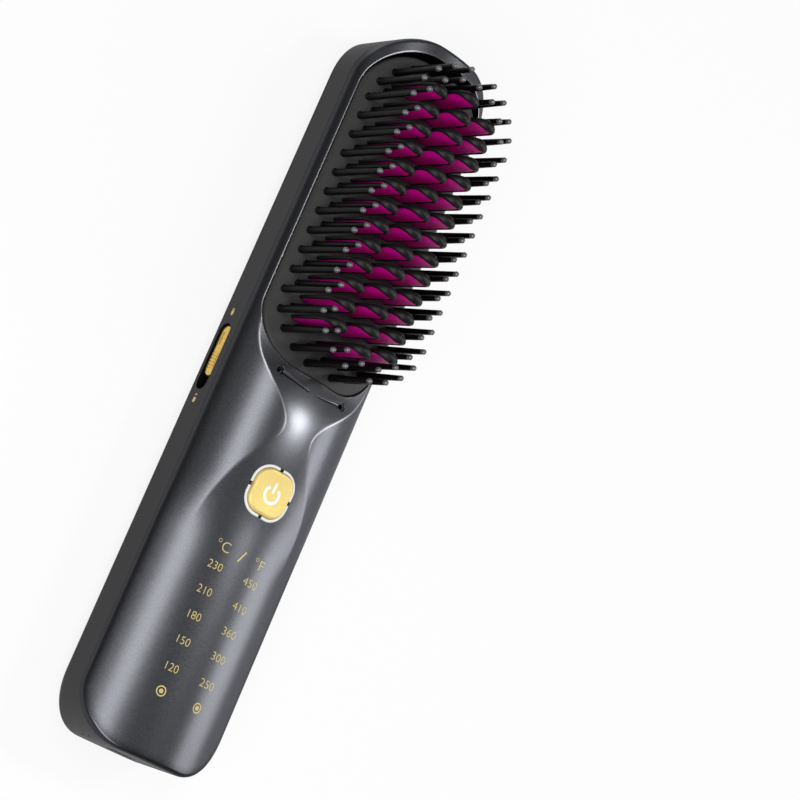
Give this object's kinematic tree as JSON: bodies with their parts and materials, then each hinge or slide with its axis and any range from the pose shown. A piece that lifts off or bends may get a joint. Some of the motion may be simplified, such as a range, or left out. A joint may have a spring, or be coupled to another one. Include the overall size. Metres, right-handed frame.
{
  "type": "cordless straightening comb",
  "caption": "Cordless hair straightening comb: crowned handle with an hourglass neck, heated fins with arch caps between guard pins, a power button and a lock slider.",
  "frame": {"origin": "centre of the bounding box at the flat land of the back, on which the comb lies", "axes": "+Z out of the front with the pins, +Y along the case towards the comb head, X across the case"},
  "size_m": [0.0464, 0.208, 0.0431],
  "materials": {
    "graphite_shell": "metallic satin paint with fine sparkle",
    "dark_band": "matte moulded plastic",
    "comb_grey": "satin moulded plastic",
    "comb_black": "satin heat resistant plastic",
    "magenta_coat": "magenta ceramic coated aluminium",
    "ceramic": "plain ceramic",
    "insulation": "heat resistant moulding",
    "gold": "satin gold",
    "light_guide": "translucent white",
    "steel": "bright",
    "board": "board lacquer",
    "switch_black": "moulded",
    "cell_wrap": "cell sleeve"
  },
  "bodies": {
    "case": {"front_shell": "graphite_shell", "side_band": "dark_band", "back_shell": "graphite_shell", "comb_plate": "comb_grey", "outer_pins": "comb_black", "inner_pins": "comb_black", "heated_fins": "magenta_coat", "fin_caps": "comb_black", "heat_base": "magenta_coat", "heater_strip": "ceramic", "heat_cradle": "insulation", "thermistor": "ceramic", "thermal_fuse": "steel", "tact_switch": "switch_black", "light_ring": "light_guide", "slide_switch": "steel", "main_board": "board", "board_screws": "steel", "ion_generator": "switch_black", "ion_outlets": "switch_black", "battery_cells": "cell_wrap", "battery_cradle": "switch_black", "cell_spacer": "switch_black", "cell_tabs": "steel", "lamp_strip": "board", "level_lamps": "light_guide", "charge_board": "board", "charging_socket": "steel", "charge_lamps": "light_guide"},
    "button": {"power_button": "gold", "switch_plunger": "switch_black"},
    "slider": {"lock_slider": "gold", "switch_lever": "switch_black"}
  },
  "joints": [
    {"name": "button_press", "type": "slide", "parent": "case", "child": "button", "axis": [0, 0, -1], "range_m": [0, 0.0008], "stiffness_N_per_m": 900, "springref_m": -0.0004},
    {"name": "lock_slide", "type": "slide", "parent": "case", "child": "slider", "axis": [0, -1, 0], "range_m": [0, 0.0039]}
  ]
}
